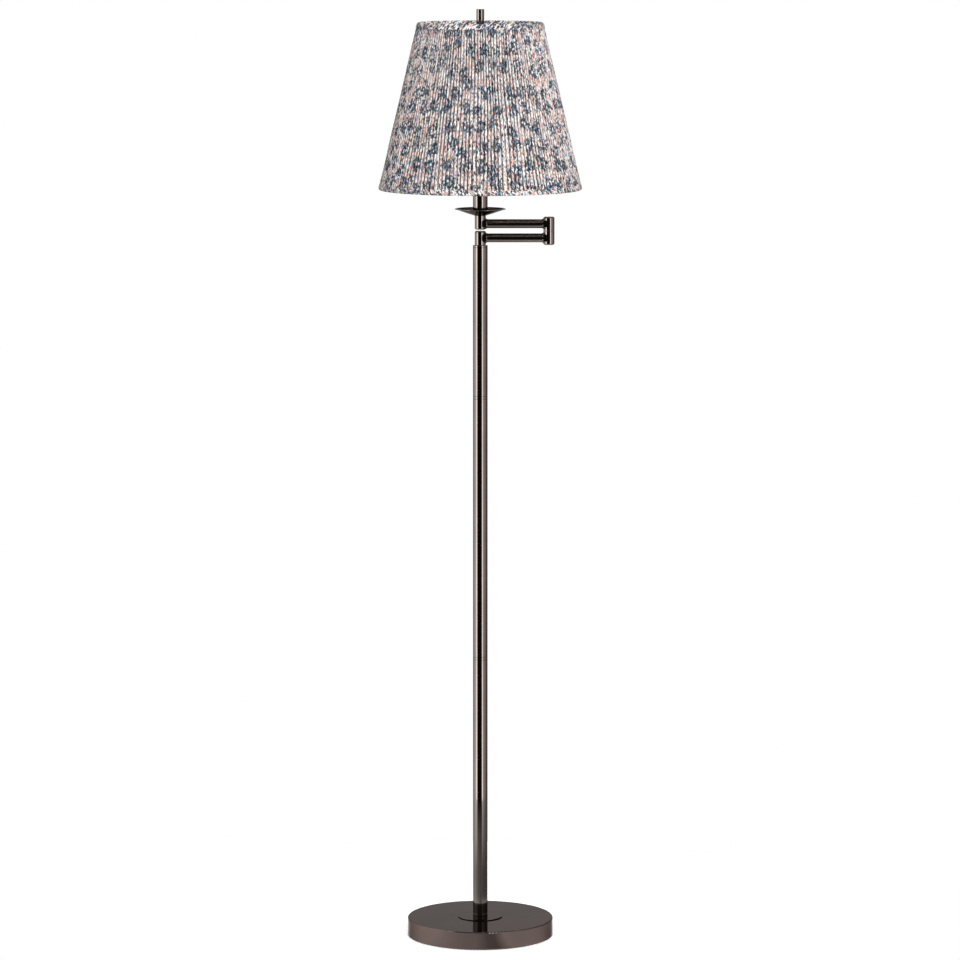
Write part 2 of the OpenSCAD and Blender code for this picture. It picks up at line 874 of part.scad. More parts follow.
module switch_knob() {
    flute_r = knob_d / 12;
    color("#191817")
        translate([0, -knob_y, shaft_z])
            rotate([90, 0, 0])
                difference() {
                    rotate_extrude() one_round_corner(knob_r, knob_l, 1);
                    translate([0, 0, -eps]) cylinder(r = shaft_r + fit, h = knob_l - 3 + fit);
                    for (i = [0:knob_flutes - 1])
                        rotate([0, 0, i * 360 / knob_flutes])
                            translate([knob_r + flute_r / 3, 0, 2]) cylinder(r = flute_r, h = knob_l, $fn = 24);
                }
}

// ---- Bulb ----

module bulb_cap() {
    tip_h = 4;
    color(steel)
        translate([0, 0, bulb_z])
            rotate_extrude()
                polygon([
                    [0, 0], [contact_r, 0], [bulb_cap_r - 1, tip_h], [bulb_cap_r, tip_h + 1],
                    [bulb_cap_r, bulb_cap_h], [bulb_cap_r - 1, bulb_cap_h], [bulb_cap_r - 1, tip_h + 2],
                    [0, tip_h + 2]
                ]);
}

// Pear-shaped glass, open at its neck inside the cap: a sphere over a cone that is tangent to it
module bulb_glass() {
    neck_r = bulb_cap_r - 1.1;
    ball_r = bulb_d / 2;
    ball_z = bulb_glass_h - ball_r;
    neck_l = 12;
    cone = 28;    // angle below the sphere's equator where the cone leaves it
    color("white", 0.6)
        translate([0, 0, bulb_z + bulb_cap_h])
            rotate_extrude()
                difference() {
                    bulb_outline(neck_r, ball_r, ball_z, cone, neck_l);
                    bulb_outline(neck_r - bulb_wall, ball_r - bulb_wall, ball_z, cone, neck_l + 1);
                }
}

module bulb_outline(neck_r, ball_r, ball_z, cone, neck_l) {
    intersection() {
        translate([0, ball_z]) circle(r = ball_r);
        square([ball_r, ball_z + ball_r]);
    }
    polygon([
        [0, -neck_l], [neck_r, -neck_l], [neck_r, 4], [neck_r + 2, 10],
        [ball_r * cos(cone), ball_z - ball_r * sin(cone)], [0, ball_z]
    ]);
}

// ---- Shade ----

module shade_top_ring() {
    color(steel)
        translate([0, 0, shade_top_z - ring_lift])
            rotate_extrude() translate([top_ring_r, 0]) circle(r = ring_r);
}

module shade_bottom_ring() {
    color(steel)
        translate([0, 0, shade_z + ring_lift])
            rotate_extrude() translate([bottom_ring_r, 0]) circle(r = ring_r);
}

// Hub that drops over the harp's stud, and three arms welded on it that rise to the top ring
module shade_spider() {
    weld = 0.6;
    bend = 40;
    bend_r = 12;
    arm_from = spider_hub_r - 5;
    arm_lift = spider_hub_t + spider_arm_r - weld;
    arm_rise = spider_drop - ring_lift - arm_lift;
    arm_to = top_ring_r - ring_r - fit - spider_arm_r * sin(bend);
    slope_run = (arm_rise - bend_r * (1 - cos(bend))) / sin(bend);
    flat_run = arm_to - slope_run * cos(bend) - bend_r * sin(bend) - arm_from;
    color(steel) {
        translate([0, 0, shade_seat_z]) ring(spider_hub_r, spider_hole_r, spider_hub_t);
        for (a = [90:120:330])
            rotate([0, 0, a])
                translate([arm_from, 0, shade_seat_z + arm_lift])
                    rotate([0, 90, 0])
                        bent_wire(spider_arm_r, [[flat_run, bend_r, -bend], [slope_run, 0, 0]]);
    }
}

// A cone-shaped skin that follows the shade's outline, inset from it and t thick
module shade_skin(inset, t, z0, z1) {
    translate([0, 0, shade_z])
        rotate_extrude()
            polygon([
                [shade_r(z0) - inset - t, z0], [shade_r(z0) - inset, z0],
                [shade_r(z1) - inset, z1], [shade_r(z1) - inset - t, z1]
            ]);
}

module shade_fabric() {
    color("#b9a9a8") shade_skin(fabric_inset, fabric_t, fabric_edge, shade_h - fabric_edge);
}

module shade_lining() {
    color("ivory") shade_skin(lining_inset, lining_t, fabric_edge, shade_h - fabric_edge);
}

// Each trim is a band round the outside that folds over the ring wire
module shade_trims() {
    fold_w = ring_inset + ring_r + soft_gap;
    color("#8f8f9b") {
        shade_skin(0, trim_t, 0, trim_h);
        shade_skin(0, fold_w, 0, trim_fold);
        shade_skin(0, trim_t, shade_h - trim_h, shade_h);
        shade_skin(0, fold_w, shade_h - trim_fold, shade_h);
    }
}

// ---- Finial ----

module finial() {
    bevel = 0.6;
    thread_l = stud_l + 2;
    color(metal)
        translate([0, 0, finial_z])
            difference() {
                rotate_extrude()
                    polygon([
                        [0, 0], [finial_d / 2, 0], [finial_d / 2, finial_h - bevel],
                        [finial_d / 2 - bevel, finial_h], [0, finial_h]
                    ]);
                translate([0, 0, -eps]) cylinder(r = stud_r + fit, h = thread_l);
            }
}

base_pad();
base_weight();
base_cover();
cord_bushing();
base_pipe();
base_washer();
base_nut();
foot_plate();
foot_ring();
lower_joint_ring();
upper_joint_ring();
lower_pole();
middle_pole();
upper_pole();
pole_inserts();
joint_nipples();
pole_cap();
pole_pivot();
pole_pivot_nut();
pole_slip_washer();
pole_knuckle();
pole_knuckle_plug();
lower_arm_tube();
elbow_lower_knuckle();
elbow_lower_plug();
elbow_pivot();
elbow_nuts();
elbow_slip_washer();
elbow_upper_knuckle();
elbow_upper_plug();
upper_arm_tube();
head_knuckle();
head_knuckle_plug();
head_pipe();
head_nut();
saucer();
neck_tube();
neck_washer();
harp_saddle();
harp_bow();
harp_ferrules();
harp_stud();
socket_cap();
socket_shell();
socket_sleeve();
socket_core();
socket_screw_shell();
socket_contact();
switch_shaft();
switch_knob();
bulb_cap();
bulb_glass();
shade_top_ring();
shade_bottom_ring();
shade_spider();
shade_fabric();
shade_lining();
shade_trims();
finial();
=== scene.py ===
"""Looks of a swing-arm floor lamp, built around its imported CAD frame. Lengths are in metres."""

import json
import math

import bpy
import numpy as np
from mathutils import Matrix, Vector

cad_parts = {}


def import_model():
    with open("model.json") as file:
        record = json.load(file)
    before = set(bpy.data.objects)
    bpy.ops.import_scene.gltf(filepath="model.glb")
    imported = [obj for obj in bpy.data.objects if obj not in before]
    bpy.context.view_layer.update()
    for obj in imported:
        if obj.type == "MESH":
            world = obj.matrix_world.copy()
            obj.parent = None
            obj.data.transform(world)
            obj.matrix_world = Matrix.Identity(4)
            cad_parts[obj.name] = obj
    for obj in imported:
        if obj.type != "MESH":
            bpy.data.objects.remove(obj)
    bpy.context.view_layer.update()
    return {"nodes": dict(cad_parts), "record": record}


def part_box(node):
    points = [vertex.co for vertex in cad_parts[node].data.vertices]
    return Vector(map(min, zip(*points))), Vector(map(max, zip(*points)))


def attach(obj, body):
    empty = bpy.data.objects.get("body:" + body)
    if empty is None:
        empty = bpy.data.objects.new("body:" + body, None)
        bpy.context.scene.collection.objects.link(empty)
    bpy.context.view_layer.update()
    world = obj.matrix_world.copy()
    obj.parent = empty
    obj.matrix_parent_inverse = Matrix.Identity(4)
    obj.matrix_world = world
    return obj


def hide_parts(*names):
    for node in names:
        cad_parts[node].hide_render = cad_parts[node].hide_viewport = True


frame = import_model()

MM = 0.001
NODES = frame["nodes"]
SLOTS = {part["node"]: part["material_slot"] for part in frame["record"]["subparts"]}
AT_EDGE = 0.1 * MM           # how near an edge's height a vertex of the CAD counts as on it
BACK = math.pi / 2           # angle of the seams: +Y is the lamp's back

# Shade cover: cloth gathered into pleats between the two trims
COVER_SEED = 8
PLEATS = 158
PLEAT_POINTS = 9             # points across one pleat
COVER_ROWS = 54
CLOTH_WIDTH = 1.27           # length of the strip of cloth before it is gathered
CLOTH_T = 0.3 * MM
CREST_PROUD = 0.4 * MM       # how far the pleats stand out of the shade's outline
CREST_POWER = 0.9            # a lower power gives a pleat a wider ridge and a narrower fold
PUFF = 0.25 * MM             # how far a single pleat swells out or draws in
PUFF_ROOM = 0.3 * MM         # taken off the outline again, so that a swollen pleat has room
PLEAT_MAX = 3.2 * MM         # deepest pleat, which just clears the lining
PLEAT_END = 8 * MM           # height over which a pleat flattens into a trim
END_SHARE = 0.55             # share of its depth that a pleat keeps at a trim
WANDER = (1.7, 1.8)          # how far pleats shift in twos and in sevens, in radians of a pleat
DEPTH_SHARE = (0.78, 0.22)   # a pleat's share of the full depth: its mean and its spread
LEAN = (0.15, 0.6)           # how far a pleat leans over: at the bottom, and added at the top
LEAN_SHARE = (0.45, 0.55)    # a pleat's share of that lean: its mean and its spread
DEPTH_STEPS = 24             # halvings in the search for the pleats' depth

# Trims: a plain band of the same cloth that wraps each ring wire
TRIM_H = 9 * MM
TRIM_T = 0.55 * MM
TRIM_PROUD = 0.45 * MM
TRIM_BACK = 4.9 * MM         # from the outline to the band's inner leg
TRIM_INNER_H = 8 * MM
TRIM_TURN = 4.5 * MM         # height of the rounded turn over the wire
TRIM_COLUMNS = 480
LEG_POINTS = 5               # points down each straight leg of the band's section
TURN_POINTS = 13             # points round its turn
# Puckers in a band: how many there are round it and across it, and their height
PUCKERS = ((96, 2, 0.16 * MM), (34, 1, 0.1 * MM))
BIAS = math.radians(45)      # the bands are cut across the cloth at this angle

# Lining: a stiff sheet rolled into a cone, whose ends overlap at the back
SEAM_W = 11 * MM
SEAM_T = 0.25 * MM
SEAM_SUNK = 0.02 * MM        # how deep the strip's back lies in the lining
SEAM_COLUMNS = 8
SEAM_ROWS = 12

# Pad: a disc of felt under the base
PAD_SEED = 5
PAD_COLUMNS = 360
PAD_ROUNDING = 0.8 * MM
ROUNDING_POINTS = 6
PAD_BORE = 8 * MM            # radius of its hole
PAD_FRAY = 0.35 * MM         # how ragged its edge is


# ---------------------------------------------------------------- shader nodes

class Look:
    """A material with one Principled shader, and short calls that add nodes to it."""

    def __init__(self, name, **sockets):
        self.material = bpy.data.materials.new(name)
        self.material.use_nodes = True
        self.tree = self.material.node_tree
        self.shader = self.tree.nodes["Principled BSDF"]
        self.set(**sockets)
        self.place = self.add("ShaderNodeTexCoord").outputs["Object"]

    def set(self, **sockets):
        """Sets or links the shader's sockets: base_color=... stands for the socket Base Color."""
        for key, value in sockets.items():
            title = key.replace("_", " ").title().replace("Ior", "IOR")
            self.feed(self.shader.inputs[title], value)

    def feed(self, socket, value):
        """Links a socket to the value if that is a socket too, and else sets it."""
        if isinstance(value, bpy.types.NodeSocket):
            self.tree.links.new(value, socket)
        elif socket.type == "RGBA" and len(value) == 3:
            socket.default_value = (*value, 1)
        else:
            socket.default_value = value

    def add(self, kind, inputs=None, **settings):
        node = self.tree.nodes.new(kind)
        for key, value in settings.items():
            setattr(node, key, value)
        for key, value in (inputs or {}).items():
            self.feed(node.inputs[key], value)
        return node

    def maths(self, operation, a, b=0.0):
        return self.add("ShaderNodeMath", {0: a, 1: b}, operation=operation).outputs[0]

    def vector(self, operation, a, b, output=0):
        return self.add("ShaderNodeVectorMath", {0: a, 1: b}, operation=operation).outputs[output]

    def stretched(self, place, scale):
        return self.vector("MULTIPLY", place, scale)

    def turned(self, place, angle):
        """place turned by angle in its own plane."""
        inputs = {"Vector": place, "Angle": angle}
        return self.add("ShaderNodeVectorRotate", inputs, rotation_type="Z_AXIS").outputs[0]

    def split(self, place):
        """The x and y of a place."""
        return self.add("ShaderNodeSeparateXYZ", {0: place}).outputs[:2]

    def uv(self, name):
        return self.add("ShaderNodeUVMap", uv_map=name).outputs[0]

    def noise(self, scale, detail, place=None):
        place = self.place if place is None else place
        inputs = {"Vector": place, "Scale": scale, "Detail": detail}
        return self.add("ShaderNodeTexNoise", inputs).outputs["Fac"]

    def cells(self, place, randomness):
        """A flat net of cells, one for each unit of the place."""
        inputs = {"Vector": place, "Scale": 1, "Randomness": randomness}
        return self.add("ShaderNodeTexVoronoi", inputs, voronoi_dimensions="2D").outputs

    def span(self, value, low, high, to_low=0.0, to_high=1.0):
        """value from low..high mapped to to_low..to_high, and held at the ends."""
        inputs = {0: value, 1: low, 2: high, 3: to_low, 4: to_high}
        return self.add("ShaderNodeMapRange", inputs).outputs[0]

    def mix(self, factor, a, b):
        node = self.add("ShaderNodeMix", data_type="RGBA")
        for socket, value in zip((node.inputs[0], node.inputs[6], node.inputs[7]), (factor, a, b)):
            self.feed(socket, value)
        return node.outputs[2]

    def ramp(self, factor, colors, interpolation="CONSTANT"):
        """One colour after another, evenly spaced along the factor."""
        node = self.add("ShaderNodeValToRGB", {0: factor})
        node.color_ramp.interpolation = interpolation
        stops = node.color_ramp.elements
        while len(stops) < len(colors):
            stops.new(1.0)
        share = len(colors) if interpolation == "CONSTANT" else len(colors) - 1
        for i, color in enumerate(colors):
            stops[i].position = i / share
            stops[i].color = (*color, 1)
        return node.outputs[0]

    def bump(self, height, depth, strength):
        inputs = {"Strength": strength, "Distance": depth, "Height": height}
        self.feed(self.shader.inputs["Normal"], self.add("ShaderNodeBump", inputs).outputs[0])

    def edges(self, radius):
        """1 on sharp edges, 0 on open faces."""
        rounded = self.add("ShaderNodeBevel", {"Radius": radius}, samples=4).outputs[0]
        plain = self.add("ShaderNodeNewGeometry").outputs["Normal"]
        along = self.vector("DOT_PRODUCT", rounded, plain, "Value")
        return self.span(along, 0.92, 0.75)


def shaded(color, factor):
    """The colour made lighter or darker, up to white."""
    return [min(1, c * factor) for c in color]


# ---------------------------------------------------------------- hard materials

BRONZE = (0.172, 0.146, 0.133)
# Painted shade: the base's bronze is a darker, slightly warmer copy of the bronze; the darkening
# stands in for the dim floor that the base reflects
DARKENED_BASE_BRONZE = (0.132, 0.099, 0.090)
WORN_BRONZE = (0.26, 0.19, 0.15)
WEAR_RADIUS = 0.4 * MM       # how far from a sharp edge the plating is worn


def plated_bronze(name, color, glancing):
    """Polished dark bronze plating under lacquer: faint clouds, soft smears and paler edges.
    glancing is how much it still reflects at a low angle."""
    look = Look(name, metallic=1.0, specular_tint=(glancing, glancing, glancing))
    clouds = look.noise(14, 2)
    smears = look.noise(1.0, 3, look.stretched(look.place, (240, 240, 60)))
    lacquer = look.noise(650, 2)
    tone = look.mix(look.span(clouds, 0.3, 0.7), shaded(color, 0.92), shaded(color, 1.08))
    patches = look.span(look.noise(140, 3), 0.4, 0.65, 0.05, 0.55)
    wear = look.maths("MULTIPLY", look.edges(WEAR_RADIUS), patches)
    polish = look.span(smears, 0.35, 0.7, 0.06, 0.1)
    look.set(base_color=look.mix(wear, tone, WORN_BRONZE),
             roughness=look.maths("ADD", polish, look.maths("MULTIPLY", wear, 0.2)))
    look.bump(lacquer, 0.002 * MM, 0.3)
    return look.material


def bright_metal(name, color, roughness):
    """Bare or zinc-plated metal with fine turning marks and a little tarnish."""
    look = Look(name, metallic=1.0)
    stain = look.noise(90, 4)
    marks = look.noise(1.0, 2, look.stretched(look.place, (300, 300, 2500)))
    look.set(base_color=look.mix(look.span(stain, 0.45, 0.75), color, shaded(color, 0.72)),
             roughness=look.span(marks, 0.3, 0.7, roughness * 0.8, roughness * 1.25))
    look.bump(marks, 0.01 * MM, 0.5)
    return look.material


def moulded(name, color, roughness, coat=0.0):
    """Moulded plastic or rubber: a fine even texture with slight shade drift."""
    look = Look(name, coat_weight=coat, coat_roughness=0.08)
    drift = look.noise(60, 3)
    pores = look.noise(2600, 2)
    look.set(base_color=look.mix(drift, shaded(color, 0.85), shaded(color, 1.12)),
             roughness=look.span(pores, 0.3, 0.7, roughness * 0.85, roughness * 1.15))
    look.bump(pores, 0.02 * MM, 0.6)
    return look.material


def painted_iron(name):
    """Sand-cast iron under a dull black dip: coarse grain and a few rust freckles."""
    look = Look(name, metallic=0.0, roughness=0.7)
    sand = look.noise(1100, 4)
    rust = look.span(look.noise(260, 5), 0.62, 0.72)
    look.set(base_color=look.mix(rust, (0.022, 0.021, 0.02), (0.12, 0.05, 0.025)))
    look.bump(sand, 0.15 * MM, 0.8)
    return look.material


def felt(name):
    """Pressed felt: matted fibres with paler flecks."""
    look = Look(name, roughness=1.0, sheen_weight=0.6, sheen_roughness=0.6)
    fibres = look.noise(1800, 6)
    greys = [(0.008, 0.008, 0.008), (0.02, 0.019, 0.018), (0.07, 0.066, 0.06)]
    look.set(base_color=look.ramp(fibres, greys, "LINEAR"))
    look.bump(fibres, 0.25 * MM, 1.0)
    return look.material


def fibre_tube(name):
    """Pressed cardboard of the socket's insulating sleeve."""
    look = Look(name, roughness=0.9)
    strands = look.noise(1.0, 5, look.stretched(look.place, (700, 700, 3000)))
    tone = look.span(strands, 0.35, 0.65)
    look.set(base_color=look.mix(tone, (0.36, 0.24, 0.14), (0.5, 0.37, 0.24)))
    look.bump(strands, 0.05 * MM, 0.6)
    return look.material


def opal_glass(name):
    """Glass with a white coat inside: nearly opaque, glossy, and faintly uneven."""
    look = Look(name, roughness=0.12, coat_weight=0.6, coat_roughness=0.03,
                subsurface_weight=0.25, subsurface_radius=(0.01, 0.01, 0.01))
    coat = look.noise(45, 4)
    look.set(base_color=look.mix(coat, (0.86, 0.85, 0.82), (0.93, 0.925, 0.9)))
    return look.material


def lining_sheet(name):
    """White laminated lining sheet: faint mottling and a fine paper tooth."""
    look = Look(name, roughness=0.5)
    mottle = look.noise(35, 4)
    tooth = look.noise(1900, 3)
    look.set(base_color=look.mix(mottle, (0.78, 0.765, 0.73), (0.86, 0.85, 0.82)))
    look.bump(tooth, 0.03 * MM, 0.5)
    return look.material


def frame_looks():
    """One material for each slot of the record that a CAD node shows."""
    return {
        "bronze": plated_bronze("bronze", BRONZE, 0.30),
        "iron": painted_iron("iron"),
        "steel": bright_metal("steel", (0.62, 0.61, 0.59), 0.25),
        "brass": bright_metal("brass", (0.60, 0.43, 0.17), 0.28),
        "felt": felt("felt"),
        "rubber": moulded("rubber", (0.018, 0.018, 0.018), 0.7),
        "nylon": moulded("nylon", (0.030, 0.028, 0.027), 0.5),
        "phenolic": moulded("phenolic", (0.022, 0.018, 0.015), 0.35),
        "knob": moulded("knob", (0.012, 0.011, 0.011), 0.3, coat=0.5),
        "sleeve": fibre_tube("sleeve"),
        "bulb": opal_glass("bulb"),
        "lining": lining_sheet("lining"),
    }


# ---------------------------------------------------------------- printed cloth

# A generic scatter of small leaves. Its lengths are in millimetres of cloth
IVORY = (0.96, 0.95, 0.93)
CREAM = (0.84, 0.78, 0.72)
BLUSH = (0.76, 0.42, 0.38)
PALE_BLUSH = (0.83, 0.59, 0.55)
ROSE = (0.70, 0.34, 0.31)
PEACH = (0.80, 0.53, 0.37)
LILAC = (0.30, 0.35, 0.58)
SAGE = (0.17, 0.27, 0.19)
MIST = (0.21, 0.43, 0.60)
OLIVE = (0.10, 0.12, 0.07)
NAVY = (0.004, 0.024, 0.105)
INK = (0.003, 0.006, 0.014)
TEAL = (0.003, 0.060, 0.098)
PINE = (0.005, 0.034, 0.026)
SLATE = (0.022, 0.085, 0.15)
# Painted shade: this near-black is mixed into the cloth in the depth of each fold; it is also the
# dark of the weave between the threads
PAINTED_SHADE_AND_WEAVE_COLOR = (0.012, 0.016, 0.020)  # in the depth of the folds and between the threads

# From the ground up: the net of cells (across, along), half the size of a leaf (across, along),
# how far leaves lean in radians, their colours, and the share of the cells that have one, which
# is a number or the name of a share that differs in and out of the clumps
PRINT_LAYERS = [
    ((5.0, 9.0), (2.7, 4.6), 0.5, [BLUSH, PEACH, IVORY, PALE_BLUSH, ROSE, CREAM], 0.8),
    ((3.4, 7.0), (1.4, 3.2), 0.5, [SAGE, IVORY, LILAC, MIST, IVORY, BLUSH, MIST], 0.55),
    ((4.6, 7.9), (2.1, 4.4), 0.35, [NAVY, TEAL, PINE, TEAL, NAVY, INK], "dark"),
    ((4.1, 6.3), (1.75, 3.5), 0.45, [INK, TEAL, NAVY, SLATE, TEAL], "dark"),
    ((4.6, 7.0), (1.3, 2.4), 0.5, [MIST, IVORY, LILAC, IVORY], "cool"),
    ((3.6, 7.5), (1.1, 3.4), 0.4, [IVORY], "white"),
    ((2.9, 5.5), (0.65, 2.2), 0.3, [OLIVE, INK, PINE, INK], 0.65),
]
CLUMP_NET = (37, 31)         # distance between the middles of clumps
CLUMP_SHIFT = 0.6            # how far a clump's middle may lie off its place in the net
CLUMP_EDGE = (0.40, 0.29)    # distance from the middle, in cells, where it begins and is full
CLUMP_RAG = 0.12             # how far that edge is moved in and out
COVER_DARKS = (0.10, 1.0)    # share of dark leaves outside and inside the clumps
TRIM_DARKS = (0.45, 0.95)
COOL_LEAVES = (0.0, 0.4)     # share of pale blue leaves outside and inside the clumps
WHITE_LEAVES = (0.52, 0.25)  # share of ivory leaves outside and inside the clumps
NET_START = (31, 57)         # the cell of the random net that the cloth begins in
LEAF_SHIFT = 0.9             # how far a leaf may lie off its place in the net
VEIN = 0.35                  # strength of a leaf's pale vein
THREADS = 0.9                # scale of the weave
WEAVE_SHADE = 0.03           # how dark it is between the threads
# The next two values set the painted shade in the folds: the heights of a fold between which it
# fades out, and how strongly the deepest part is darkened
PAINTED_FOLD_SPAN = (0.38, 0.80)     # heights in a fold between which its shade fades out
PAINTED_FOLD_SHADE = 0.94            # how dark it is in the depth of a fold


def leaves(look, cloth, ground, net, size, lean, colors, share):
    """Scatters one leaf in each cell of a loose net over the ground colour. The other values are
    those of a row of PRINT_LAYERS."""
    offset = (NET_START[0] * net[0], NET_START[1] * net[1], 0)
    moved = look.vector("DIVIDE", look.vector("ADD", cloth, offset), (*net, 1))
    cells = look.cells(moved, LEAF_SHIFT)
    from_middle = look.vector("SUBTRACT", moved, cells["Position"])
    dice = look.add("ShaderNodeSeparateColor", {0: cells["Color"]}).outputs
    own = look.turned(look.stretched(from_middle, (*net, 1)), look.span(dice[0], 0, 1, -lean, lean))
    x, y = look.split(own)
    across = look.maths("ABSOLUTE", look.maths("DIVIDE", x, size[0]))
    along = look.maths("POWER", look.maths("ABSOLUTE", look.maths("DIVIDE", y, size[1])), 2.0)
    inside = look.span(look.maths("ADD", along, across), 1.0, 0.8)
    mask = look.maths("MULTIPLY", inside, look.maths("LESS_THAN", dice[2], share))
    vein = look.span(across, 0.16, 0.06, 0, VEIN)
    return look.mix(mask, ground, look.mix(vein, look.ramp(dice[1], colors), IVORY))


def printed_cloth(name, width, length, darks, turned=0.0):
    """Cotton lawn with a small printed scatter of leaves in blush, ivory, navy and teal. Its UV map
    "cloth" runs from 0 to 1 over the strip, and its UV map "fold" says how far out of its fold a
    point lies. darks is the share of dark leaves outside and inside their clumps, and turned is
    the strip's angle to the print."""
    look = Look(name, roughness=0.9, sheen_weight=0.03, sheen_roughness=0.5,
                specular_ior_level=0.1)
    strip = look.stretched(look.uv("cloth"), (width / MM, length / MM, 0))
    cloth = look.turned(strip, turned)
    color = look.mix(look.span(look.noise(0.05, 2, cloth), 0.42, 0.55), CREAM, PALE_BLUSH)
    net = look.stretched(cloth, (1 / CLUMP_NET[0], 1 / CLUMP_NET[1], 0))
    rag = look.span(look.noise(0.12, 2, cloth), 0.3, 0.7, -CLUMP_RAG, CLUMP_RAG)
    ragged = look.maths("ADD", look.cells(net, CLUMP_SHIFT)["Distance"], rag)
    shares = {"dark": darks, "cool": COOL_LEAVES, "white": WHITE_LEAVES}
    shares = {key: look.span(ragged, *CLUMP_EDGE, *limits) for key, limits in shares.items()}
    for net, size, lean, colors, share in PRINT_LAYERS:
        color = leaves(look, cloth, color, net, size, lean, colors, shares.get(share, share))
    threads = {"Vector": strip, "Scale": THREADS}
    weave = look.maths("MULTIPLY", *(
        look.add("ShaderNodeTexWave", threads, bands_direction=way).outputs[1] for way in "XY"))
    woven = look.mix(look.span(weave, 0, 1, WEAVE_SHADE, 0), color, PAINTED_SHADE_AND_WEAVE_COLOR)
    fold, _ = look.split(look.uv("fold"))
    # Painted shade: deep in each fold, as the UV map "fold" gives it, the cloth is darkened towards
    # the near-black fold colour
    look.set(base_color=look.mix(look.span(fold, *PAINTED_FOLD_SPAN, PAINTED_FOLD_SHADE, 0), woven, PAINTED_SHADE_AND_WEAVE_COLOR))
    look.bump(weave, 0.05 * MM, 0.5)
    return look.material


# ---------------------------------------------------------------- soft pieces

def soft_noise(random, across, down, columns, rows):
    """Smooth random field of rows x columns from -1 to 1, which closes on itself along its
    columns. across and down say how many steps there are from one random value to the next."""
    knots = random.uniform(-1, 1, (down + 1, across))
    x = np.arange(columns) * across / columns
    y = np.linspace(0, down - 1e-6, rows)
    left, low = x.astype(int), y.astype(int)
    fx, fy = x - left, (y - low)[:, None]
    fx, fy = fx * fx * (3 - 2 * fx), fy * fy * (3 - 2 * fy)
    right = (left + 1) % across
    lower = knots[low][:, left] * (1 - fx) + knots[low][:, right] * fx
    upper = knots[low + 1][:, left] * (1 - fx) + knots[low + 1][:, right] * fx
    return lower * (1 - fy) + upper * fy


def turns_of(columns, start=BACK):
    """The angles of a ring's columns."""
    return math.tau * np.arange(columns) / columns + start


def swept_ring(name, radius, height, angle, u, v, material, body="head", fold=None):
    """A closed piece swept round the shade's axis. radius, height and angle are sections x
    columns, and each column's section is a closed loop. u has one value more than there are
    columns, v one more than sections. fold, of the same shape as radius, goes from 0 in the
    fold's depth to 1 on its ridge."""
    rows, columns = radius.shape
    points = np.stack([radius * np.cos(angle), radius * np.sin(angle), height], -1).reshape(-1, 3)
    i, j = np.meshgrid(np.arange(rows), np.arange(columns), indexing="ij")
    i, j = i.ravel(), j.ravel()
    i2, j2 = (i + 1) % rows, (j + 1) % columns
    faces = np.stack([i * columns + j, i * columns + j2, i2 * columns + j2, i2 * columns + j], -1)
    corners = np.stack([[u[j], v[i]], [u[j + 1], v[i]], [u[j + 1], v[i + 1]], [u[j], v[i + 1]]])
    corners = corners.transpose(2, 0, 1)
    a, b, c, d = (points[faces[:, k]] for k in range(4))
    volume = (a * np.cross(b, c)).sum() + (a * np.cross(c, d)).sum()
    if volume < 0:
        faces, corners = faces[:, ::-1], corners[:, ::-1]
    mesh = bpy.data.meshes.new(name)
    mesh.from_pydata(points.tolist(), [], faces.tolist())
    mesh.uv_layers.new(name="cloth").data.foreach_set("uv", corners.astype(np.float32).ravel())
    ridge = np.ones(radius.size) if fold is None else fold.ravel()
    ridge = np.stack([ridge[faces], np.zeros(faces.shape)], -1)
    mesh.uv_layers.new(name="fold").data.foreach_set("uv", ridge.astype(np.float32).ravel())
    mesh.shade_smooth()
    mesh.materials.append(material)
    piece = bpy.data.objects.new(name, mesh)
    bpy.context.scene.collection.objects.link(piece)
    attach(piece, body)
    return piece


def spots_of(node):
    """Where a CAD node's vertices are."""
    return np.array([vertex.co for vertex in NODES[node].data.vertices])


class Shade:
    """The shade's outline, read from the frame: a cone between two heights."""

    def __init__(self):
        low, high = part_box("shade_trims")
        self.low, self.high = low.z, high.z
        spots = spots_of("shade_trims")
        top = spots[spots[:, 2] > self.high - AT_EDGE]
        self.bottom_r, self.top_r = high.x, float(np.hypot(top[:, 0], top[:, 1]).max())

    def radius(self, z):
        change = (self.top_r - self.bottom_r) * (z - self.low) / (self.high - self.low)
        return self.bottom_r + change


def cloth_length(radius, angle):
    """Lengths of the steps from point to point, in each row of points round the shade."""
    x, y = radius * np.cos(angle), radius * np.sin(angle)
    return np.hypot(np.roll(x, -1, 1) - x, np.roll(y, -1, 1) - y)


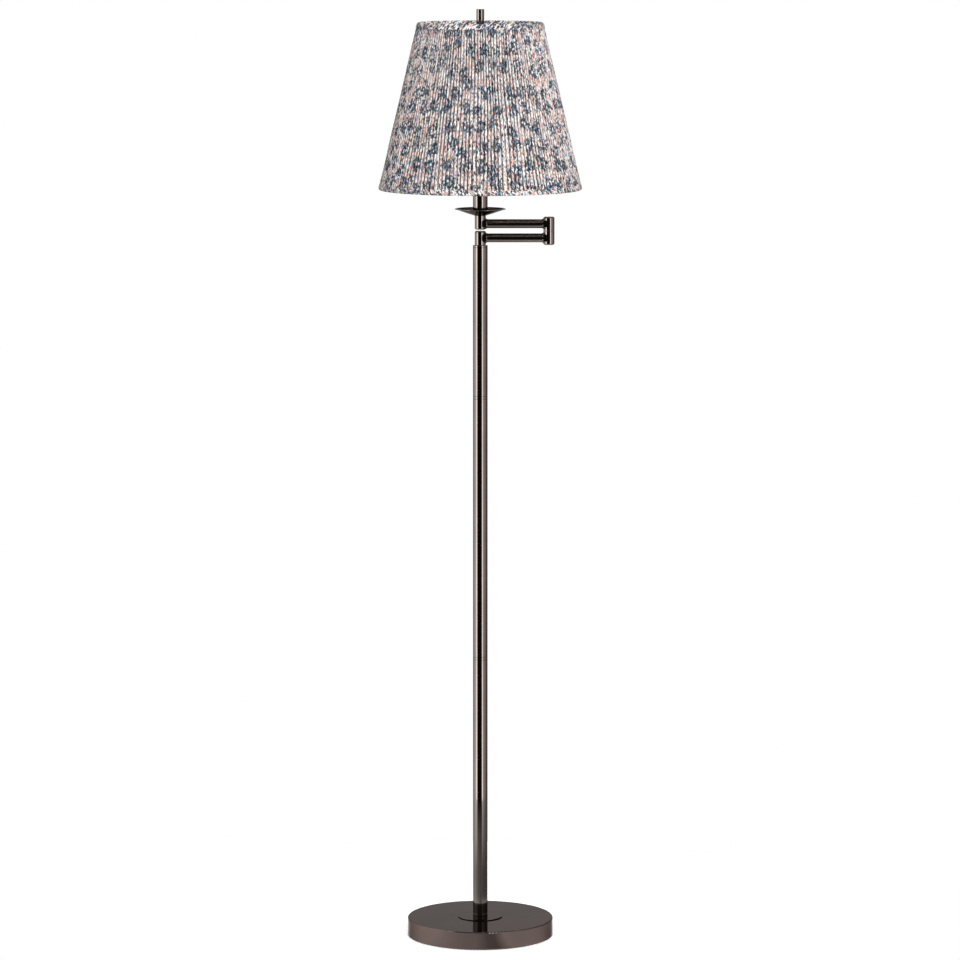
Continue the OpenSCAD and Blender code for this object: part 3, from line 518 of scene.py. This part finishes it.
def pleated_cover(shade):
    """The gathered cloth: uneven pleats that are as deep in each row as the strip of cloth is
    long."""
    random = np.random.default_rng(COVER_SEED)
    columns = PLEATS * PLEAT_POINTS

    def uneven(across, down):
        return soft_noise(random, across, down, columns, COVER_ROWS)

    low, high = (corner.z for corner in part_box("shade_fabric"))
    z = np.linspace(low, high, COVER_ROWS)[:, None]
    up = (z - low) / (high - low)
    turn = turns_of(columns)[None, :]
    fold = PLEATS * turn + WANDER[0] * uneven(PLEATS // 2, 4) + WANDER[1] * uneven(PLEATS // 7, 3)
    crest = np.abs(np.cos(fold / 2)) ** CREST_POWER
    share = DEPTH_SHARE[0] + DEPTH_SHARE[1] * uneven(PLEATS, 5)
    lean = (LEAN[0] + LEAN[1] * up) * (LEAN_SHARE[0] + LEAN_SHARE[1] * uneven(PLEATS // 5, 3))
    angle = turn + lean * math.pi / PLEATS * crest
    held = np.clip(np.minimum(z - low, high - z) / PLEAT_END, 0, 1)
    ease = END_SHARE + (1 - END_SHARE) * held * (2 - held)
    puff = PUFF * uneven(PLEATS // 2, 6) * held
    outer = shade.radius(z) + CREST_PROUD * ease - PUFF_ROOM + puff

    def pleated(depth):
        return outer - depth * share * (1 - crest)

    least, most = np.zeros((COVER_ROWS, 1)), np.full((COVER_ROWS, 1), PLEAT_MAX)
    for _ in range(DEPTH_STEPS):
        depth = (least + most) / 2
        short = cloth_length(pleated(depth), angle).sum(1, keepdims=True) < CLOTH_WIDTH
        least, most = np.where(short, depth, least), np.where(short, most, depth)
    radius = pleated(depth * ease)
    steps = cloth_length(radius, angle)[COVER_ROWS // 2]
    u = np.concatenate([[0], np.cumsum(steps)]) / steps.sum()
    v = np.concatenate([up[:, 0], up[::-1, 0], [0]])
    height = np.broadcast_to(z, radius.shape)
    # How far each point lies out of its fold; the print darkens the deep parts with painted shade
    ridge = 1 - share * (1 - crest)
    piece = swept_ring("shade_cover", np.vstack([radius, radius[::-1] - CLOTH_T]),
                       np.vstack([height, height[::-1]]), np.vstack([angle, angle[::-1]]), u, v,
                       printed_cloth("pleated_print", CLOTH_WIDTH, high - low, COVER_DARKS),
                       fold=np.vstack([ridge, ridge[::-1]]))
    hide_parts("shade_fabric")
    return piece, high - low


def trim_section():
    """Middle line of a trim's section: (distance in from the outline, height from the edge)."""
    middle, half = (TRIM_BACK - TRIM_PROUD) / 2, (TRIM_BACK + TRIM_PROUD) / 2
    outside = [(-TRIM_PROUD, h) for h in np.linspace(TRIM_H, TRIM_TURN, LEG_POINTS, endpoint=False)]
    turn = [(middle - half * math.cos(a), TRIM_TURN * (1 - math.sin(a)))
            for a in np.linspace(0, math.pi, TURN_POINTS)]
    inside = [(TRIM_BACK, h) for h in np.linspace(TRIM_TURN, TRIM_INNER_H, LEG_POINTS)[1:]]
    return np.array(outside + turn + inside)


def trim(name, shade, edge, way, seed):
    """One band: edge is the height of the shade's edge that it wraps, and way is +1 if the band
    rises from it."""
    random = np.random.default_rng(seed)
    line = trim_section()
    step = np.gradient(line, axis=0)
    side = np.stack([step[:, 1], -step[:, 0]], -1) / np.linalg.norm(step, axis=1)[:, None]
    side = side * TRIM_T / 2
    loop = np.vstack([line + side, (line - side)[::-1]])
    loop[:, 1] = np.maximum(loop[:, 1], 0)
    height = edge + way * loop[:, 1:2] + np.zeros((1, TRIM_COLUMNS))
    pucker = sum(size * soft_noise(random, across, down, TRIM_COLUMNS, len(loop))
                 for across, down, size in PUCKERS)
    radius = shade.radius(height) - loop[:, 0:1] + pucker
    run = np.concatenate([[0], np.cumsum(np.linalg.norm(np.diff(line, axis=0), axis=1))])
    v = np.concatenate([run, run[::-1], [0]]) / run[-1]
    around = math.tau * shade.radius(edge)
    cloth = printed_cloth(name + "_print", around, run[-1], TRIM_DARKS, turned=BIAS)
    angle = np.broadcast_to(turns_of(TRIM_COLUMNS), radius.shape)
    piece = swept_ring(name, radius, height, angle, np.linspace(0, 1, TRIM_COLUMNS + 1), v, cloth)
    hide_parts("shade_trims")
    return piece


def lining_seam():
    """The overlap of the lining's two ends: a glued strip down the inside of the back."""
    low, high = (corner.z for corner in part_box("shade_lining"))
    spots = spots_of("shade_lining")
    ends = [spots[np.abs(spots[:, 2] - z) < AT_EDGE] for z in (low, high)]
    low_r, high_r = (np.hypot(end[:, 0], end[:, 1]).min() for end in ends)
    up = np.linspace(0, 1, SEAM_ROWS + 1)[:, None]
    wall = low_r + (high_r - low_r) * up
    angle = BACK + np.linspace(-0.5, 0.5, SEAM_COLUMNS + 1)[None, :] * SEAM_W / wall
    z = low + (high - low) * up + 0 * angle
    points = [np.stack([r * np.cos(angle), r * np.sin(angle), z], -1).reshape(-1, 3)
              for r in (wall + SEAM_SUNK, wall - SEAM_T)]
    wide, tall = SEAM_COLUMNS + 1, SEAM_ROWS + 1
    back = wide * tall
    outside = [[r * wide + c, r * wide + c + 1, (r + 1) * wide + c + 1, (r + 1) * wide + c]
               for r in range(SEAM_ROWS) for c in range(SEAM_COLUMNS)]
    inside = [[back + i for i in reversed(quad)] for quad in outside]
    border = list(range(wide)) + [r * wide + wide - 1 for r in range(1, tall)] \
        + [(tall - 1) * wide + c for c in range(wide - 2, -1, -1)] \
        + [r * wide for r in range(tall - 2, 0, -1)]
    rim = [[b, a, back + a, back + b] for a, b in zip(border, border[1:] + border[:1])]
    mesh = bpy.data.meshes.new("lining_seam")
    mesh.from_pydata(np.concatenate(points).tolist(), [], outside + inside + rim)
    mesh.materials.append(lining_sheet("seam_sheet"))
    seam = bpy.data.objects.new("lining_seam", mesh)
    bpy.context.scene.collection.objects.link(seam)
    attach(seam, "head")


def felt_pad():
    """The pad under the base: a disc of felt with a soft, slightly ragged edge."""
    random = np.random.default_rng(PAD_SEED)
    low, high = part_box("base_pad")
    edge_r, thick = high.x, high.z - low.z
    rim = [(edge_r - PAD_ROUNDING + PAD_ROUNDING * math.sin(a),
            PAD_ROUNDING - PAD_ROUNDING * math.cos(a))
           for a in np.linspace(0, math.pi / 2, ROUNDING_POINTS)]
    rim += [(r, thick - h) for r, h in reversed(rim)]
    rings = np.array([(PAD_BORE, 0.0), (edge_r / 2, 0.0)] + rim
                     + [(edge_r / 2, thick), (PAD_BORE, thick)])
    fray = PAD_FRAY * soft_noise(random, 240, 3, PAD_COLUMNS, len(rings))
    at_rim = rings[:, 0:1] > edge_r / 2 + MM
    radius = rings[:, 0:1] + np.where(at_rim, fray - PAD_FRAY, 0)
    height = low.z + rings[:, 1:2] + np.zeros((1, PAD_COLUMNS))
    angle = np.broadcast_to(turns_of(PAD_COLUMNS, start=0), radius.shape)
    piece = swept_ring("felt_pad", radius, height, angle, np.linspace(0, 1, PAD_COLUMNS + 1),
                       np.linspace(0, 1, len(rings) + 1), felt("pad_felt"), body="stand")
    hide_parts("base_pad")


# ---------------------------------------------------------------- stage

CAMERA_AT = Vector((0, -7.5, 1.725))
AIMED_AT = Vector((0, 0, 0.7578))
SENSOR = 36
LENS = 173.46
SHIFT_X = -0.0003
SIGHT = 60                   # how far the camera sees

AMBIENT = 0.44               # brightness of the world as a light
# Lamps: name, place, size and energy
LAMPS = [
    ("key", Vector((1.25, -5.45, 3.0)), 1.6, 262),
    ("fill", Vector((0, 5.6, 3.2)), 2.2, 130),
]
LAMPS_AIM = Vector((0, 0, 1.2))

FLOOR_R = 0.75
FLOOR_Z = -0.0002            # just below the pad, so that the two faces don't fight
FLOOR_GREY = 0.9
FLOOR_LIFT = 0.5             # glow that the camera sees, which brings the lit floor to white

# Cards far round the lamp: name, limits of turn and rise in degrees, from the front and from
# level, and brightness at the two turn limits
CARD_R = 6.0
CARD_COLUMNS, CARD_ROWS = 25, 13
CARDS = [
    ("left_wash", (-135, -74), (-50, 50), (1.5, 1.9)),
    ("left_strip", (-73, -50), (-50, 50), (3.2, 6.0)),
    ("front_flag", (-49, 26), (-50, 54), (0.02, 0.02)),
    ("high_strip", (-49, 26), (54, 62), (1.5, 1.5)),
    ("right_strip", (27, 43), (-40, 50), (6.0, 3.0)),
    ("right_wash", (44, 100), (-50, 50), (1.4, 0.4)),
    ("right_flag", (102, 138), (-50, 50), (0.35, 0.3)),
]

# Brightness by turn, in degrees from the front: what the base's side, the pole's foot and the
# pole above it reflect
BASE_GLOW = [(-150, 1.0), (-139, 1.7), (-92, 1.4), (-52, 1.25), (-26, 0.95), (-5, 0.75), (8, 0.4),
             (16, 0.4), (28, 1.1), (50, 1.0), (90, 0.9), (134, 1.3), (150, 1.0)]
FOOT_GLOW = [(-150, 1.0), (-144, 0.95), (-110, 1.15), (-84, 1.1), (-62, 0.75), (-42, 0.56),
             (-24, 0.4), (10, 0.32), (28, 0.4), (46, 0.25), (66, 0.3), (88, 0.22), (116, 0.3),
             (150, 1.0)]
FADED_GLOW = [(-150, 1.0), (-134, 1.2), (-84, 1.5), (-62, 1.9), (-44, 0.7), (-30, 0.3), (16, 0.2),
              (26, 0.5), (34, 1.3), (46, 0.7), (66, 0.5), (88, 0.4), (116, 0.35), (138, 0.4),
              (150, 1.0)]
POLE_GLOW = [(-150, 1.0), (-134, 1.3), (-84, 1.7), (-62, 2.6), (-46, 0.6), (-38, 0.02), (20, 0.02),
             (26, 0.5), (34, 2.2), (44, 1.2), (66, 0.7), (88, 0.45), (116, 0.35), (138, 0.4),
             (150, 1.0)]

# Cards that run right round the lamp: name, how far back their middle lies, and their rims, each
# with its radius, height and brightness. The ceiling lies back to stay off the base's top
GLOW_R = 0.3
RING_CARDS = [
    ("ceiling_flag", 0.45, [(0.01, 2.6, 0.04), (1.29, 2.6, 0.04)]),
    ("underfloor_flag", 0.0, [(FLOOR_R, -0.5, 0.22), (1.9, -0.5, 0.28)]),
    ("floor_glow", 0.0, [(0.125, MM, BASE_GLOW), (0.24, MM, BASE_GLOW), (GLOW_R, MM, FOOT_GLOW)]),
    ("foot_glow", 0.0, [(GLOW_R, MM, FOOT_GLOW), (GLOW_R, 0.05, FOOT_GLOW),
                        (GLOW_R, 0.11, FADED_GLOW), (GLOW_R, 0.17, POLE_GLOW)]),
]


def camera():
    data = bpy.data.cameras.new("camera")
    data.sensor_width = SENSOR
    data.lens = LENS
    data.shift_x = SHIFT_X
    data.clip_end = SIGHT
    eye = bpy.data.objects.new("camera", data)
    eye.location = CAMERA_AT
    eye.rotation_euler = (AIMED_AT - CAMERA_AT).to_track_quat("-Z", "Y").to_euler()
    bpy.context.scene.collection.objects.link(eye)
    bpy.context.scene.camera = eye


def by_ray(tree, lighting, shown):
    """The value lighting for the rays that light the scene, and shown for camera, glossy and
    transmission rays, which see the white background."""
    path = tree.nodes.new("ShaderNodeLightPath").outputs
    total = path["Is Camera Ray"]
    for other in ("Is Glossy Ray", "Is Transmission Ray"):
        add = tree.nodes.new("ShaderNodeMath")
        add.operation, add.use_clamp = "ADD", True
        tree.links.new(total, add.inputs[0])
        tree.links.new(path[other], add.inputs[1])
        total = add.outputs[0]
    node = tree.nodes.new("ShaderNodeMapRange")
    tree.links.new(total, node.inputs[0])
    node.inputs[3].default_value, node.inputs[4].default_value = lighting, shown
    return node.outputs[0]


def world():
    made = bpy.data.worlds.new("studio")
    made.use_nodes = True
    bpy.context.scene.world = made
    tree = made.node_tree
    background = tree.nodes["Background"]
    background.inputs["Color"].default_value = (1, 1, 1, 1)
    tree.links.new(by_ray(tree, AMBIENT, 1.0), background.inputs["Strength"])


def floor():
    """A round white floor that fades into the background but keeps the lamp's shadow."""
    bpy.ops.mesh.primitive_circle_add(vertices=128, radius=FLOOR_R, fill_type="NGON",
                                      location=(0, 0, FLOOR_Z))
    disc = bpy.context.object
    disc.name = "floor"
    material = bpy.data.materials.new("floor")
    material.use_nodes = True
    tree = material.node_tree
    shader = tree.nodes["Principled BSDF"]
    shader.inputs["Base Color"].default_value = (FLOOR_GREY, FLOOR_GREY, FLOOR_GREY, 1)
    shader.inputs["Roughness"].default_value = 0.9
    shader.inputs["Specular IOR Level"].default_value = 0.1
    shader.inputs["Emission Color"].default_value = (1, 1, 1, 1)
    tree.links.new(by_ray(tree, 0.0, FLOOR_LIFT), shader.inputs["Emission Strength"])
    disc.data.materials.append(material)


def reflector(name, points, levels):
    """A stage mesh that shows only in reflections. points and levels are rows x columns: where
    each of its corners is and how brightly it glows."""
    columns = len(levels[0])
    starts = [r * columns + c for r in range(len(levels) - 1) for c in range(columns - 1)]
    mesh = bpy.data.meshes.new(name)
    mesh.from_pydata([spot for row in points for spot in row], [],
                     [(i, i + 1, i + columns + 1, i + columns) for i in starts])
    flat = [level for row in levels for level in row]
    for loop, spot in zip(mesh.loops, mesh.uv_layers.new(name="glow").data):
        spot.uv = (flat[loop.vertex_index], 0)
    material = bpy.data.materials.new(name)
    material.use_nodes = True
    tree = material.node_tree
    tree.nodes.clear()
    glow, split, light, out = (tree.nodes.new("ShaderNode" + kind) for kind in (
        "UVMap", "SeparateXYZ", "Emission", "OutputMaterial"))
    glow.uv_map = "glow"
    tree.links.new(glow.outputs[0], split.inputs[0])
    tree.links.new(split.outputs[0], light.inputs["Strength"])
    tree.links.new(light.outputs[0], out.inputs["Surface"])
    mesh.materials.append(material)
    made = bpy.data.objects.new(name, mesh)
    bpy.context.scene.collection.objects.link(made)
    made.visible_camera = made.visible_transmission = False
    made.visible_shadow = made.visible_diffuse = False


def round_point(radius, turn, height, centre_y=0.0):
    """A point at a turn in radians from the front."""
    return radius * math.sin(turn), centre_y - radius * math.cos(turn), height


def card(name, turn, rise, radiance):
    """A curved card, as a row of CARDS says."""
    turns = np.radians(np.linspace(*turn, CARD_COLUMNS)).tolist()
    heights = [AIMED_AT.z + CARD_R * math.tan(math.radians(r))
               for r in np.linspace(*rise, CARD_ROWS).tolist()]
    reflector(name, [[round_point(CARD_R, a, z) for a in turns] for z in heights],
              [np.linspace(*radiance, CARD_COLUMNS).tolist()] * CARD_ROWS)


def ring_card(name, centre_y, rims):
    """A card that runs right round the lamp, as a row of RING_CARDS says. A rim's brightness is
    one value or a list of (turn in degrees from the front, value)."""
    turns = list(range(-180, 181))
    points, levels = [], []
    for radius, height, level in rims:
        known = level if isinstance(level, list) else [(0, level)]
        points.append([round_point(radius, math.radians(a), height, centre_y) for a in turns])
        levels.append(np.interp(turns, *zip(*known)).tolist())
    reflector(name, points, levels)


def soft_light(name, place, size, energy):
    """A large soft light that doesn't show in reflections."""
    data = bpy.data.lights.new(name, "AREA")
    data.shape, data.size, data.energy = "DISK", size, energy
    light = bpy.data.objects.new(name, data)
    light.location = place
    light.rotation_euler = (LAMPS_AIM - place).to_track_quat("-Z", "Y").to_euler()
    light.visible_glossy = False
    bpy.context.scene.collection.objects.link(light)


def studio():
    world()
    floor()
    for row in LAMPS:
        soft_light(*row)
    for row in CARDS:
        card(*row)
    for row in RING_CARDS:
        ring_card(*row)
    bpy.context.scene.view_settings.view_transform = "Standard"


# ---------------------------------------------------------------- assembly

def dress(node, material):
    """Gives a CAD node its material."""
    NODES[node].data.materials.clear()
    NODES[node].data.materials.append(material)


camera()
looks = frame_looks()
for node, slot in SLOTS.items():
    if slot in looks:
        dress(node, looks[slot])
# Painted shade: the base cover and foot plate get the darkened copy of the bronze
darkened_base_bronze = plated_bronze("darkened_base_bronze", DARKENED_BASE_BRONZE, 0.40)
for node in ("base_cover", "foot_plate"):
    dress(node, darkened_base_bronze)

shade = Shade()
cover, cover_height = pleated_cover(shade)
trims = [trim("bottom_trim", shade, shade.low, 1, 21), trim("top_trim", shade, shade.high, -1, 22)]
lining_seam()
felt_pad()
studio()
